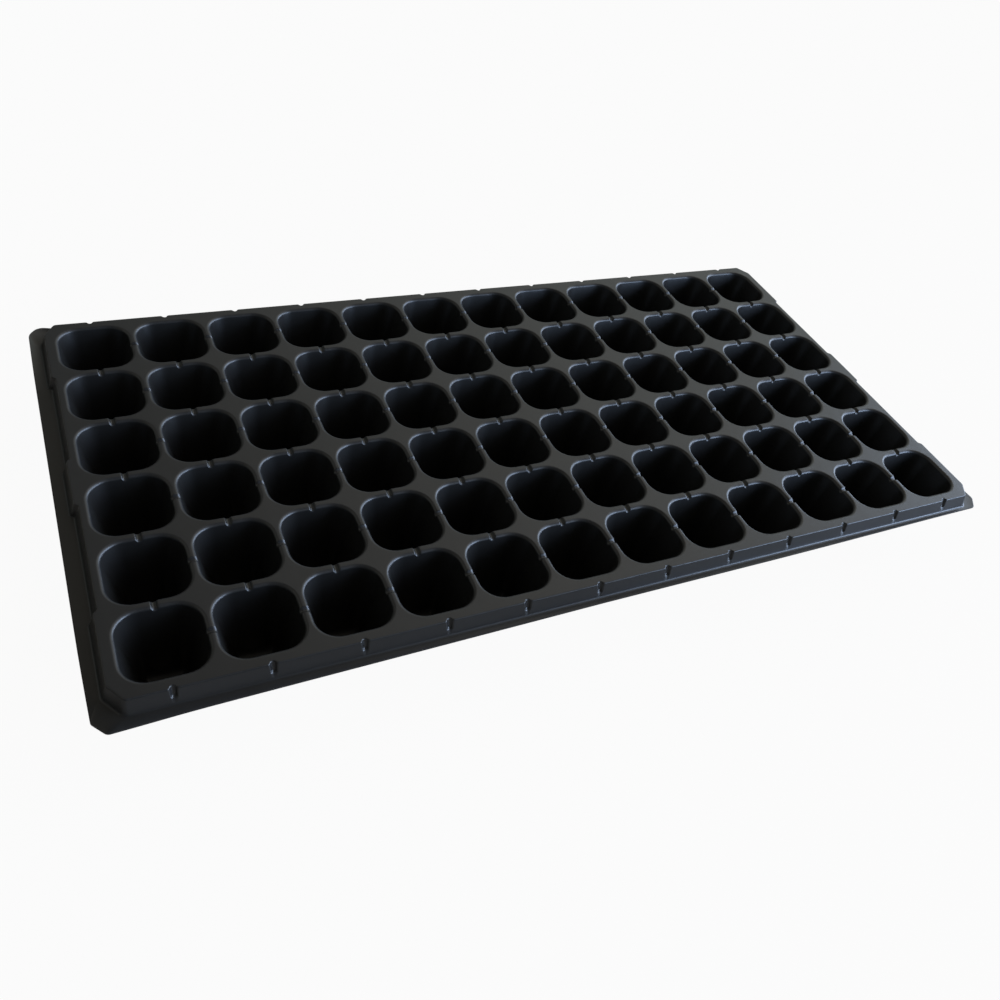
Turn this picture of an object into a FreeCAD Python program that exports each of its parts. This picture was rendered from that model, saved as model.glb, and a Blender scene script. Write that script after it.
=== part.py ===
import FreeCAD, Part
import math
import os

import BOPTools.SplitFeatures
import Sketcher

# A plug tray: one sheet of black plastic formed into a grid of tapered square cups that hang from
# a flat deck, with a short leaning skirt and a flat flange around it.
#
# Frame: the origin is at the middle of the tray, on the plane of the cup floors. +X runs along the
# long side, +Y along the short side and +Z up. Millimetres and degrees.
#
# The real tray is one moulding. Here it is divided where its shape changes, into solids that meet
# face to face: the cups with their squares of the deck, in columns of six, and the deck's border,
# the skirt and the flange, each in four sides that meet in mitres at the corners. A thin cup is
# divided once more, like a barrel into staves, so that the hull of each solid leaves the cup open.

SIZES = {
    # the grid of cups
    "cups_long": 12,
    "cups_wide": 6,
    "pitch_long": 42.9,
    "pitch_wide": 43.3,
    "tray_height": 42.0,
    "sheet": 0.8,
    # one cup: its mouth, measured at the walls inside the rounded rim, and the lean of its walls,
    # which brings the floor down to a square of about 20
    "mouth_long": 38.9,
    "mouth_wide": 38.8,
    "mouth_corner": 12.0,
    "cup_draft": 12.8,
    "wall": 0.5,
    "floor_sheet": 0.6,
    "rim_round": 1.6,
    "drain_diameter": 9.0,
    "groove_radius": 1.6,
    # the deck's border and the skirt around it
    "deck_margin": 25.7,
    "skirt_drop": 8.5,
    "skirt_lean": 17.6,
    "corner_cut_long": 6.0,
    "corner_cut_wide": 9.0,
    "skirt_corner": 2.2,
    "deck_edge_round": 0.7,
    "flute_radius": 1.6,
    "flute_stop": 2.5,
    # the shallow recesses between the three buttresses of each short end
    "recess_depth": 2.0,
    "recess_start": 15.2,
    "recess_end": 85.6,
    "recess_slope": 2.4,
    # the whole tray, out to the edge of the flange
    "tray_long": 540.0,
    "tray_wide": 280.0,
    "flange_cut_long": 5.5,
    "flange_cut_wide": 7.0,
    "flange_corner": 3.0,
}

SOLIDS_PER_CUP = 16
# two heights this close are the same height
CLOSE = 1e-4
# how far outside and inside the grid of cups each side's sector reaches, to hold the whole edge
SECTOR_OUTWARD = 20
SECTOR_INWARD = 10

document = FreeCAD.newDocument("plug_tray")
sheet = document.addObject("Spreadsheet::Sheet", "Dimensions")
for row, (alias, number) in enumerate(SIZES.items(), start=1):
    sheet.set(f"A{row}", alias)
    sheet.set(f"B{row}", str(number))
    sheet.setAlias(f"B{row}", alias)
document.recompute()


def cell(alias):
    return f"Dimensions.{alias}"


# lengths that several pieces share, as expressions of the driving dimensions
GRID_LONG = f"{cell('cups_long')} * {cell('pitch_long')}"
GRID_WIDE = f"{cell('cups_wide')} * {cell('pitch_wide')}"
EDGE_LONG = f"(({cell('cups_long')} - 1) * {cell('pitch_long')} / 2 + {cell('deck_margin')})"
EDGE_WIDE = f"(({cell('cups_wide')} - 1) * {cell('pitch_wide')} / 2 + {cell('deck_margin')})"
DECK_UNDERSIDE = f"{cell('tray_height')} - {cell('sheet')}"
FLANGE_UNDERSIDE = f"{cell('tray_height')} - {cell('skirt_drop')} - {cell('sheet')}"
# the groove on each side of a cup: the plane that it is drawn on, whether it runs against that
# plane's normal, and how far it reaches from the cup's middle
GROOVES = {
    "front": ("XZ_Plane", False, f"{cell('pitch_wide')} / 2"),
    "back": ("XZ_Plane", True, f"{cell('pitch_wide')} / 2"),
    "right": ("YZ_Plane", False, f"{cell('pitch_long')} / 2"),
    "left": ("YZ_Plane", True, f"{cell('pitch_long')} / 2"),
}
# the horizontal step from the skirt's outer face to its inner face, at the deck's underside
SKIRT_INSET = f"{cell('sheet')} * (1 / cos({cell('skirt_lean')}) - tan({cell('skirt_lean')}))"


# --- sketches -----------------------------------------------------------------------------------


def origin_feature(body, role):
    return next(f for f in body.Origin.OriginFeatures if f.Role == role)


def new_sketch(body, name, height, role="XY_Plane"):
    """A sketch on one of the body's own planes, raised to a height by an expression.

    A level sketch rises along its own normal, and one on an upright plane along its own y.
    """
    sketch = body.newObject("Sketcher::SketchObject", name)
    sketch.AttachmentSupport = (origin_feature(body, role), "")
    sketch.MapMode = "FlatFace"
    upward = "z" if role == "XY_Plane" else "y"
    sketch.setExpression(f"AttachmentOffset.Base.{upward}", height)
    return sketch


def dimension(sketch, constraint, name, expression):
    index = sketch.addConstraint(constraint)
    sketch.renameConstraint(index, name)
    sketch.setExpression(f"Constraints.{name}", expression)


def draw_rounded_rectangle(sketch, long_side, wide_side, corner):
    """A rectangle with four equal arcs for corners, centred on the sketch's origin."""
    x, y, r = 20.0, 15.0, 5.0
    arcs = [(x - r, -y + r, -90), (x - r, y - r, 0), (-x + r, y - r, 90), (-x + r, -y + r, 180)]
    sides = [((x, -y + r), (x, y - r)), ((x - r, y), (-x + r, y))]
    sides += [((-x, y - r), (-x, -y + r)), ((-x + r, -y), (x - r, -y))]
    for (cx, cy, start), (side_start, side_end) in zip(arcs, sides):
        circle = Part.Circle(FreeCAD.Vector(cx, cy, 0), FreeCAD.Vector(0, 0, 1), r)
        turn = math.radians(start)
        sketch.addGeometry(Part.ArcOfCircle(circle, turn, turn + math.pi / 2), False)
        ends = [FreeCAD.Vector(*side_start, 0), FreeCAD.Vector(*side_end, 0)]
        sketch.addGeometry(Part.LineSegment(*ends), False)
    for k in range(8):
        sketch.addConstraint(Sketcher.Constraint("Tangent", k, 2, (k + 1) % 8, 1))
    sketch.addConstraint(Sketcher.Constraint("Vertical", 1))
    sketch.addConstraint(Sketcher.Constraint("Vertical", 5))
    sketch.addConstraint(Sketcher.Constraint("Horizontal", 3))
    sketch.addConstraint(Sketcher.Constraint("Horizontal", 7))
    for arc in (2, 4, 6):
        sketch.addConstraint(Sketcher.Constraint("Equal", 0, arc))
    sketch.addConstraint(Sketcher.Constraint("Symmetric", 0, 3, 4, 3, -1, 1))
    across = Sketcher.Constraint("DistanceX", 6, 3, 0, 3, 2 * (x - r))
    dimension(sketch, across, "between_centres_long", f"{long_side} - 2 * ({corner})")
    along = Sketcher.Constraint("DistanceY", 0, 3, 2, 3, 2 * (y - r))
    dimension(sketch, along, "between_centres_wide", f"{wide_side} - 2 * ({corner})")
    dimension(sketch, Sketcher.Constraint("Radius", 0, r), "corner", corner)


def draw_half_disc(sketch, radius):
    """The lower half of a disc centred on the sketch's origin, for a groove along the deck."""
    r = 2.0
    circle = Part.Circle(FreeCAD.Vector(0, 0, 0), FreeCAD.Vector(0, 0, 1), r)
    sketch.addGeometry(Part.ArcOfCircle(circle, math.pi, 2 * math.pi), False)
    ends = [FreeCAD.Vector(r, 0, 0), FreeCAD.Vector(-r, 0, 0)]
    sketch.addGeometry(Part.LineSegment(*ends), False)
    sketch.addConstraint(Sketcher.Constraint("Coincident", 0, 2, 1, 1))
    sketch.addConstraint(Sketcher.Constraint("Coincident", 1, 2, 0, 1))
    sketch.addConstraint(Sketcher.Constraint("Horizontal", 1))
    sketch.addConstraint(Sketcher.Constraint("Coincident", 0, 3, -1, 1))
    dimension(sketch, Sketcher.Constraint("Radius", 0, r), "radius", radius)


def draw_circle(sketch, diameter):
    r = 4.0
    circle = Part.Circle(FreeCAD.Vector(0, 0, 0), FreeCAD.Vector(0, 0, 1), r)
    sketch.addGeometry(circle, False)
    sketch.addConstraint(Sketcher.Constraint("Coincident", 0, 3, -1, 1))
    dimension(sketch, Sketcher.Constraint("Diameter", 0, 2 * r), "diameter", diameter)


def draw_quarters(sketch, quarter):
    """A closed outline with a corner at each point of quarter and at its mirror images.

    quarter runs anticlockwise. Each point has an x and a y, and each of those is a pair: a number
    to draw it at, and the expression that then drives it.
    """
    turns = [(1, 1, quarter), (-1, 1, quarter[::-1]), (-1, -1, quarter), (1, -1, quarter[::-1])]
    corners = [(sx, x, sy, y) for sx, sy, points in turns for x, y in points]
    count = len(corners)
    points = [FreeCAD.Vector(sx * x[0], sy * y[0], 0) for sx, x, sy, y in corners]
    for k in range(count):
        sketch.addGeometry(Part.LineSegment(points[k], points[(k + 1) % count]), False)
    for k in range(count):
        sketch.addConstraint(Sketcher.Constraint("Coincident", k, 2, (k + 1) % count, 1))
    for k, (sx, x, sy, y) in enumerate(corners):
        across = Sketcher.Constraint("DistanceX", -1, 1, k, 1, sx * x[0])
        dimension(sketch, across, f"x{k}", f"{sx} * {x[1]}")
        along = Sketcher.Constraint("DistanceY", -1, 1, k, 1, sy * y[0])
        dimension(sketch, along, f"y{k}", f"{sy} * {y[1]}")


def draw_deck_outline(sketch, inset):
    """The deck's edge: a rectangle with cut corners, and two shallow recesses in each short side.

    inset is an expression: how far inside the deck's own edge the outline runs.
    """
    edge_x = (247.0, f"({EDGE_LONG} - {inset})")
    edge_y = (127.0, f"({EDGE_WIDE} - {inset})")
    deep_x = (245.0, f"({EDGE_LONG} - {inset} - {cell('recess_depth')})")
    # moving a cut corner inwards also moves its two ends along the sides
    cut_long, cut_wide = cell("corner_cut_long"), cell("corner_cut_wide")
    cut = f"sqrt({cut_long} * {cut_long} + {cut_wide} * {cut_wide})"
    up_to = f"({EDGE_WIDE} - {cut_wide} + ({cut_wide} - {cut}) * {inset} / {cut_long})"
    back_to = f"({EDGE_LONG} - {cut_long} + ({cut_long} - {cut}) * {inset} / {cut_wide})"
    # along the short side, from the middle buttress out to the one at the corner
    quarter = [
        (edge_x, (14.0, f"({cell('recess_start')} - {inset})")),
        (deep_x, (16.0, f"({cell('recess_start')} + {cell('recess_slope')} - {inset})")),
        (deep_x, (83.0, f"({cell('recess_end')} - {cell('recess_slope')} + {inset})")),
        (edge_x, (85.0, f"({cell('recess_end')} + {inset})")),
        (edge_x, (118.0, up_to)),
        ((241.0, back_to), edge_y),
    ]
    draw_quarters(sketch, quarter)


def draw_flange_outline(sketch):
    """The flange's edge: a rectangle with cut corners."""
    edge_x = (270.0, f"({cell('tray_long')} / 2)")
    edge_y = (140.0, f"({cell('tray_wide')} / 2)")
    up_to = (130.0, f"({cell('tray_wide')} / 2 - {cell('flange_cut_wide')})")
    back_to = (260.0, f"({cell('tray_long')} / 2 - {cell('flange_cut_long')})")
    draw_quarters(sketch, [(edge_x, up_to), (back_to, edge_y)])


# --- features -----------------------------------------------------------------------------------


def add_prism(body, kind, sketch, length, against):
    """A Pad or a Pocket of the sketch, along its plane's normal or against it."""
    prism = body.newObject(f"PartDesign::{kind}", f"{sketch.Name}_{kind.lower()}")
    prism.Profile = sketch
    # left to itself, a pad runs along the normal and a pocket cuts against it
    prism.Reversed = against if kind == "Pad" else not against
    prism.setExpression("Length", length)
    return prism


def add_fillet(body, name, base, radius, wanted):
    """Rounds the edges of base for which wanted(edge) is true."""
    document.recompute()
    numbers = [k for k, edge in enumerate(base.Shape.Edges, start=1) if wanted(edge)]
    if not numbers:
        raise RuntimeError(f"{name} finds no edge to round")
    fillet = body.newObject("PartDesign::Fillet", name)
    fillet.Base = (base, [f"Edge{k}" for k in numbers])
    fillet.setExpression("Radius", radius)
    return fillet


def lies_level(edge, height):
    """Is the whole edge at this height?"""
    box = edge.BoundBox
    return abs(box.ZMin - height) < CLOSE and abs(box.ZMax - height) < CLOSE


def boolean(kind, name, base, tool):
    """Part::Cut or Part::Common of two objects of the document."""
    result = document.addObject(f"Part::{kind}", name)
    result.Base = base
    result.Tool = tool
    return result


def build_slab(name, long_side, wide_side, bottom, height):
    """A level box centred on the origin in plan."""
    slab = document.addObject("Part::Box", name)
    slab.setExpression("Length", long_side)
    slab.setExpression("Width", wide_side)
    slab.setExpression("Height", height)
    slab.setExpression("Placement.Base.x", f"-({long_side}) / 2")
    slab.setExpression("Placement.Base.y", f"-({wide_side}) / 2")
    slab.setExpression("Placement.Base.z", bottom)
    return slab


# --- one cup with its square of the deck ----------------------------------------------------------


def build_cup(name, neighbours):
    """A cup in its square of the deck, with a groove across the deck to each neighbouring cup.

    neighbours are the sides that have another cup beside them.
    """
    body = document.addObject("PartDesign::Body", name)

    square = body.newObject("PartDesign::AdditiveBox", "deck_square")
    square.setExpression("Length", cell("pitch_long"))
    square.setExpression("Width", cell("pitch_wide"))
    square.setExpression("Height", cell("sheet"))
    square.setExpression("Placement.Base.x", f"-{cell('pitch_long')} / 2")
    square.setExpression("Placement.Base.y", f"-{cell('pitch_wide')} / 2")
    square.setExpression("Placement.Base.z", DECK_UNDERSIDE)

    outside = new_sketch(body, f"{name}_mouth_outside", cell("tray_height"))
    draw_rounded_rectangle(
        outside,
        f"({cell('mouth_long')} + 2 * {cell('wall')})",
        f"({cell('mouth_wide')} + 2 * {cell('wall')})",
        f"{cell('mouth_corner')} + {cell('wall')}",
    )
    outer_walls = add_prism(body, "Pad", outside, cell("tray_height"), against=True)
    outer_walls.setExpression("TaperAngle", f"-{cell('cup_draft')}")

    # a saddle under each groove keeps the sheet whole where the groove crosses the deck
    for side in neighbours:
        plane, against, reach = GROOVES[side]
        saddle = new_sketch(body, f"{name}_saddle_{side}", cell("tray_height"), plane)
        draw_half_disc(saddle, f"{cell('groove_radius')} + {cell('wall')}")
        add_prism(body, "Pad", saddle, reach, against)

    mouth = new_sketch(body, f"{name}_mouth", cell("tray_height"))
    draw_rounded_rectangle(mouth, cell("mouth_long"), cell("mouth_wide"), cell("mouth_corner"))
    cup_depth = f"{cell('tray_height')} - {cell('floor_sheet')}"
    cavity = add_prism(body, "Pocket", mouth, cup_depth, against=True)
    cavity.setExpression("TaperAngle", f"-{cell('cup_draft')}")

    def on_rim(edge):
        """Is it an edge of the mouth, and not of the deck square or of a saddle's end?"""
        shorter_than_square = edge.BoundBox.DiagonalLength < SIZES["mouth_long"]
        farthest = max(abs(edge.CenterOfMass.x), abs(edge.CenterOfMass.y))
        by_the_mouth = farthest < SIZES["mouth_long"] / 2 + SIZES["wall"] / 2
        return lies_level(edge, SIZES["tray_height"]) and shorter_than_square and by_the_mouth

    add_fillet(body, f"{name}_rim", cavity, cell("rim_round"), on_rim)

    for side in neighbours:
        plane, against, reach = GROOVES[side]
        groove = new_sketch(body, f"{name}_groove_{side}", cell("tray_height"), plane)
        draw_half_disc(groove, cell("groove_radius"))
        add_prism(body, "Pocket", groove, reach, against)

    drain = new_sketch(body, f"{name}_drain", cell("floor_sheet"))
    draw_circle(drain, cell("drain_diameter"))
    add_prism(body, "Pocket", drain, cell("floor_sheet"), against=True)
    document.recompute()
    return body


def slice_solid(name, base, tools):
    """The pieces that the faces of the tools cut the base into, as a compound."""
    pieces = BOPTools.SplitFeatures.makeSlice(name)
    pieces.Base = base
    pieces.Tools = tools
    pieces.Mode = "Split"
    return pieces


def build_cup_dividers():
    """The solids whose faces divide a cup: across its flat walls, along its diagonals and its floor."""
    beyond = f"2 * {cell('pitch_wide')}"
    tall = f"2 * {cell('tray_height')}"
    flat_long = f"{cell('mouth_long')} - 2 * {cell('mouth_corner')}"
    flat_wide = f"{cell('mouth_wide')} - 2 * {cell('mouth_corner')}"
    flats = [
        build_slab("flats_along", flat_long, beyond, "0", tall),
        build_slab("flats_across", beyond, flat_wide, "0", tall),
    ]
    diagonals = []
    for side, turn in (("back", 45), ("front", 225)):
        quarter = document.addObject("Part::Box", f"{side}_quarter")
        for size in ("Length", "Width", "Height"):
            quarter.setExpression(size, beyond)
        quarter.Placement.Rotation = FreeCAD.Rotation(FreeCAD.Vector(0, 0, 1), turn)
        diagonals.append(quarter)
    floor_layer = build_slab("floor_layer", beyond, beyond, "0", cell("floor_sheet"))
    return flats, diagonals, floor_layer


def divide_cup(cup, dividers):
    """The cup's walls as twelve staves, four flat and eight rounded, and its floor as four pieces."""
    flats, diagonals, floor_layer = dividers
    walls = boolean("Cut", f"{cup.Name}_walls", cup, floor_layer)
    floor = boolean("Common", f"{cup.Name}_floor", cup, floor_layer)
    staves = slice_solid(f"{cup.Name}_staves", walls, flats + diagonals)
    quarters = slice_solid(f"{cup.Name}_floor_quarters", floor, diagonals)
    divided = document.addObject("Part::Compound", f"{cup.Name}_divided")
    divided.Links = [staves, quarters]
    return divided


def neighbouring_sides(i, j):
    """The sides of cup j of column i that have another cup beside them."""
    beside = {
        "left": i > 0,
        "right": i < SIZES["cups_long"] - 1,
        "front": j > 0,
        "back": j < SIZES["cups_wide"] - 1,
    }
    return tuple(side for side, there in beside.items() if there)


def build_columns():
    """Twelve columns of six cups, which touch each other along the middle of the deck's webs."""
    dividers = build_cup_dividers()
    cups = {}
    columns = []
    for i in range(SIZES["cups_long"]):
        members = []
        for j in range(SIZES["cups_wide"]):
            neighbours = neighbouring_sides(i, j)
            if neighbours not in cups:
                initials = "".join(side[0] for side in neighbours)
                cups[neighbours] = divide_cup(build_cup(f"cup_{initials}", neighbours), dividers)
            member = document.addObject("App::Link", f"cup_{i + 1}_{j + 1}")
            member.LinkedObject = cups[neighbours]
            from_front = f"({j} - ({cell('cups_wide')} - 1) / 2) * {cell('pitch_wide')}"
            member.setExpression("Placement.Base.y", from_front)
            members.append(member)
        column = document.addObject("Part::Compound", f"cup_column_{i + 1:02d}")
        column.Links = members
        from_left = f"({i} - ({cell('cups_long')} - 1) / 2) * {cell('pitch_long')}"
        column.setExpression("Placement.Base.x", from_left)
        columns.append(column)
    return columns


# --- the deck's border, the skirt and the flange --------------------------------------------------


def build_skirt_block(name, top, inset, depth, corner, flute_radius, flute_end, top_round=None):
    """The solid inside one face of the skirt: leaning sides, recessed ends and fluted long sides.

    All the sizes are expressions. flute_end is how far above the flange each flute stops.
    top_round is the radius along the top edge, if that is rounded.
    """
    body = document.addObject("PartDesign::Body", name)
    outline = new_sketch(body, f"{name}_outline", top)
    draw_deck_outline(outline, inset)
    block = add_prism(body, "Pad", outline, depth, against=True)
    block.setExpression("TaperAngle", cell("skirt_lean"))

    def at_corner(edge):
        """Is it an upright edge at either end of a cut corner, past the recesses?"""
        upright = edge.BoundBox.ZLength > SIZES["skirt_drop"] / 2
        past_recesses = SIZES["recess_end"] + SIZES["corner_cut_wide"]
        return upright and abs(edge.CenterOfMass.y) > past_recesses

    block = add_fillet(body, f"{name}_corners", block, corner, at_corner)
    if top_round:
        add_fillet(
            body,
            f"{name}_top_edge",
            block,
            top_round,
            lambda edge: lies_level(edge, SIZES["tray_height"]),
        )

    flute = body.newObject("PartDesign::SubtractiveCylinder", f"{name}_flute")
    flute.setExpression("Radius", flute_radius)
    lean = cell("skirt_lean")
    rise = f"({cell('skirt_drop')} - ({flute_end}))"
    flute.setExpression("Height", f"2 * {rise} / cos({lean})")
    flute.Placement.Rotation = FreeCAD.Rotation(FreeCAD.Vector(1, 0, 0), -SIZES["skirt_lean"])
    flute.setExpression("Placement.Base.x", f"-({cell('cups_long')} - 1) / 2 * {cell('pitch_long')}")
    flute.setExpression("Placement.Base.y", f"-({EDGE_WIDE} + {rise} * tan({lean}))")
    flute.setExpression("Placement.Base.z", f"{cell('tray_height')} - {rise}")
    document.recompute()

    row = body.newObject("PartDesign::MultiTransform", f"{name}_flutes")
    row.Originals = [flute]
    body.Tip = row
    along = body.newObject("PartDesign::LinearPattern", f"{name}_flute_row")
    along.Direction = (origin_feature(body, "X_Axis"), [""])
    along.setExpression("Length", f"({cell('cups_long')} - 1) * {cell('pitch_long')}")
    along.Occurrences = SIZES["cups_long"]
    across = body.newObject("PartDesign::Mirrored", f"{name}_flute_mirror")
    across.MirrorPlane = (origin_feature(body, "XZ_Plane"), [""])
    row.Transformations = [along, across]
    body.Tip = row
    document.recompute()
    return body


def build_flange():
    """The whole flange plate, before the skirt's foot is cut out of it."""
    body = document.addObject("PartDesign::Body", "flange_plate")
    outline = new_sketch(body, "flange_outline", FLANGE_UNDERSIDE)
    draw_flange_outline(outline)
    plate = add_prism(body, "Pad", outline, cell("sheet"), against=False)

    def upright(edge):
        return edge.BoundBox.ZLength > SIZES["sheet"] / 2

    add_fillet(body, "flange_corners", plate, cell("flange_corner"), upright)
    return body


def build_sector(side, along, across, turn):
    """The wedge of space that holds one side of the tray's edge, bounded by mitres at 45 degrees.

    It is drawn for the front side, around a grid of cups that is along by across, and then turned.
    """
    sector = document.addObject("Part::Wedge", f"{side}_sector")
    sector.setExpression("Ymin", f"-({across} / 2 + {SECTOR_OUTWARD})")
    sector.setExpression("Ymax", f"-({across} / 2 - {SECTOR_INWARD})")
    for low, high, reach in (("Xmin", "Xmax", SECTOR_OUTWARD), ("X2min", "X2max", -SECTOR_INWARD)):
        sector.setExpression(low, f"-({along} / 2 + {reach})")
        sector.setExpression(high, f"{along} / 2 + {reach}")
    for low, high in (("Zmin", "Zmax"), ("Z2min", "Z2max")):
        sector.setExpression(low, "0")
        sector.setExpression(high, f"2 * {cell('tray_height')}")
    sector.Placement.Rotation = FreeCAD.Rotation(FreeCAD.Vector(0, 0, 1), turn)
    return sector


def build_edge_nodes():
    """The deck's border, the skirt and the flange, each cut into a front, back, left and right."""
    drop, thickness = cell("skirt_drop"), cell("sheet")
    outside = build_skirt_block(
        "outer_block",
        cell("tray_height"),
        "0",
        f"{drop} + {thickness}",
        cell("skirt_corner"),
        cell("flute_radius"),
        cell("flute_stop"),
        cell("deck_edge_round"),
    )
    inside = build_skirt_block(
        "inner_block",
        DECK_UNDERSIDE,
        SKIRT_INSET,
        drop,
        f"{cell('skirt_corner')} - {thickness}",
        f"{cell('flute_radius')} + {thickness}",
        f"{cell('flute_stop')} - {thickness}",
    )
    deck_layer = build_slab(
        "deck_layer", cell("tray_long"), cell("tray_wide"), DECK_UNDERSIDE, cell("tray_height")
    )
    grid = build_slab("cup_grid", GRID_LONG, GRID_WIDE, DECK_UNDERSIDE, cell("tray_height"))
    deck_plate = boolean("Common", "deck_plate", outside, deck_layer)
    open_block = boolean("Cut", "open_block", outside, inside)
    rings = {
        "deck_border": boolean("Cut", "deck_ring", deck_plate, grid),
        "skirt": boolean("Cut", "skirt_ring", open_block, deck_layer),
        "flange": boolean("Cut", "flange_ring", build_flange(), outside),
    }
    sectors = {
        "front": build_sector("front", GRID_LONG, GRID_WIDE, 0),
        "right": build_sector("right", GRID_WIDE, GRID_LONG, 90),
        "back": build_sector("back", GRID_LONG, GRID_WIDE, 180),
        "left": build_sector("left", GRID_WIDE, GRID_LONG, -90),
    }
    return [
        boolean("Common", f"{ring}_{side}", rings[ring], sector)
        for ring in rings
        for side, sector in sectors.items()
    ]


# --- checking and writing -------------------------------------------------------------------------


def check_document():
    for thing in document.Objects:
        if "Invalid" in thing.State or "Error" in thing.State:
            raise RuntimeError(f"{thing.Label} failed: {thing.State}")


def write_part(part, solid_count):
    shape = part.Shape
    if shape.isNull() or not shape.isValid() or len(shape.Solids) != solid_count:
        raise RuntimeError(f"{part.Label} is not {solid_count} valid solids")
    if min(solid.Volume for solid in shape.Solids) <= 0:
        raise RuntimeError(f"{part.Label} holds a solid with no volume")
    shape.exportStep(f"parts/{part.Label}.step")
    print(f"{part.Label}: {len(shape.Solids)} solids, {shape.Volume:.0f} mm3")


columns = build_columns()
edge_parts = build_edge_nodes()
document.recompute()
check_document()
os.makedirs("parts", exist_ok=True)
for column in columns:
    write_part(column, SIZES["cups_wide"] * SOLIDS_PER_CUP)
for edge_part in edge_parts:
    write_part(edge_part, 1)
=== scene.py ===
import math

import bmesh
import bpy
from mathutils import Matrix, Vector


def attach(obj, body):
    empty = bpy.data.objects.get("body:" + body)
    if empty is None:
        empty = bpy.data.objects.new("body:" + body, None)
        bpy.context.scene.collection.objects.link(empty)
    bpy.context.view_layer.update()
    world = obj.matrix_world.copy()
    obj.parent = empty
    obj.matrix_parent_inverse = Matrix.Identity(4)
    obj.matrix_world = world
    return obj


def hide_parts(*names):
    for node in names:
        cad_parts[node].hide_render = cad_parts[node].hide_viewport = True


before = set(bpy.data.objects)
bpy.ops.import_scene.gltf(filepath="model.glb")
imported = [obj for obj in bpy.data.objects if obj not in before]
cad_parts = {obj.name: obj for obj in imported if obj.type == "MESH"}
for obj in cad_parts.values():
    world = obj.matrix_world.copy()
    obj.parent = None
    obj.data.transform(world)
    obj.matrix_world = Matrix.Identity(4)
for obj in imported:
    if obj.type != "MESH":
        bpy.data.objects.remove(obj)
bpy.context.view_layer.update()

# A black plug tray, formed from one sheet of plastic. Its visible model is a closed sheet with a
# top face and an underside, made in columns of cups and one surrounding edge, like the CAD nodes.
# Lengths in this script are millimetres, until make_piece turns them into metres.

MILLIMETRE = 0.001

# ---- the tray's sizes ---------------------------------------------------------------------------

CUPS_LONG, CUPS_WIDE = 12, 6
PITCH_LONG, PITCH_WIDE = 42.9, 43.3
TRAY_LONG, TRAY_WIDE = 540.0, 280.0
DECK = 42.0
SHEET = 0.8
WALL = 0.5
DRAFT = math.radians(12.8)
LEAN = math.radians(17.6)
DECK_MARGIN = 25.7
SKIRT_DROP = 8.5
# how far each cut corner reaches along the tray and across it
DECK_CUT = (6.0, 9.0)
FLANGE_CUT = (5.5, 7.0)
# the rounding at both ends of the flange's cuts: back right, back left, front left, front right
FLANGE_CORNERS = (3.0, 8.0, 3.0, 3.0)
FLANGE_EDGE_ROUND = 0.2
DRAIN_RADIUS = 4.5
BUTTRESS_DEPTH, BUTTRESS_START, BUTTRESS_END, BUTTRESS_SLOPE = 2.0, 15.2, 85.6, 2.4
# a flute narrows a little as far as FLUTE_DIMPLE down the skirt, and stops FLUTE_END above its foot
FLUTE_END = 3.0
FLUTE_DIMPLE = 3.7
FLUTE_NARROW = 0.85

# ---- this tray's bends --------------------------------------------------------------------------

# how far the sheet sags in the middle, twists at its corners, ripples and drops at the back right
SAG, TWIST, RIPPLE, BACK_RIGHT_DROP = 0.35, 0.30, 0.06, 0.9
RIPPLE_LONG, RIPPLE_WIDE, RIPPLE_START = 31, 27, 1.0
# the left flange bows out in a band at its rim, and less and less towards its two ends
LEFT_BOW, LEFT_BAND, LEFT_FADE = 0.65, 12, 10
LEFT_END, LEFT_END_FADE = 150, 60
# the back left corner's bend reaches BACK_LEFT_STRETCH times as far across the tray as along it
BACK_LEFT_OUT, BACK_LEFT_UP = 2.2, 2.0
BACK_LEFT_REACH, BACK_LEFT_STRETCH = 26, 2.5
# the front flange leans out and down, steadily more to the left, and most near its left corner
FRONT_BAND = 12
FRONT_LEAN_OUT, FRONT_LEAN_DOWN = 1.5, 1.6
FRONT_LEAN_START, FRONT_LEAN_RATE = 20, 0.0032
FRONT_CORNER_LEAN, FRONT_CORNER_REACH = 0.35, 50
# and towards its right end it is pushed in and up a little
FRONT_RIGHT_IN, FRONT_RIGHT_UP = 0.9, 0.3
FRONT_RIGHT_START, FRONT_RIGHT_FADE = 90, 180

# ---- the sheet's two faces ----------------------------------------------------------------------

# The two faces of the sheet. Each has its own level, mouth, radii and grooves, a wall's or a
# sheet's thickness apart. groove_above is how far over the face the groove's centre lies.
TOP = {
    "deck": DECK,
    "mouth_long": 19.45,
    "mouth_wide": 19.40,
    "corner": 12.0,
    "roll": 2.0,
    "groove_radius": 1.4,
    "groove_above": 0.0,
    "groove_lip": 0.9,
    "floor": 0.6,
    "floor_round": 5.6,
    "skirt_inset": 0.0,
    "edge_roll": 0.9,
    "skirt_corner": 2.2,
    "foot_round": 1.5,
    "flute_radius": 1.55,
    "flute_lip": 1.3,
}
UNDERSIDE = {
    "deck": DECK - SHEET,
    "mouth_long": 19.45 + WALL - SHEET * math.tan(DRAFT),
    "mouth_wide": 19.40 + WALL - SHEET * math.tan(DRAFT),
    "corner": 12.4,
    "roll": 1.3,
    "groove_radius": 1.9,
    "groove_above": SHEET,
    "groove_lip": 0.3,
    "floor": 0.0,
    "floor_round": 6.1,
    "skirt_inset": SHEET / math.cos(LEAN) - SHEET * math.tan(LEAN),
    "edge_roll": 0.25,
    "skirt_corner": 1.6,
    "foot_round": 2.3,
    "flute_radius": 2.4,
    "flute_lip": 0.1,
}

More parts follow.
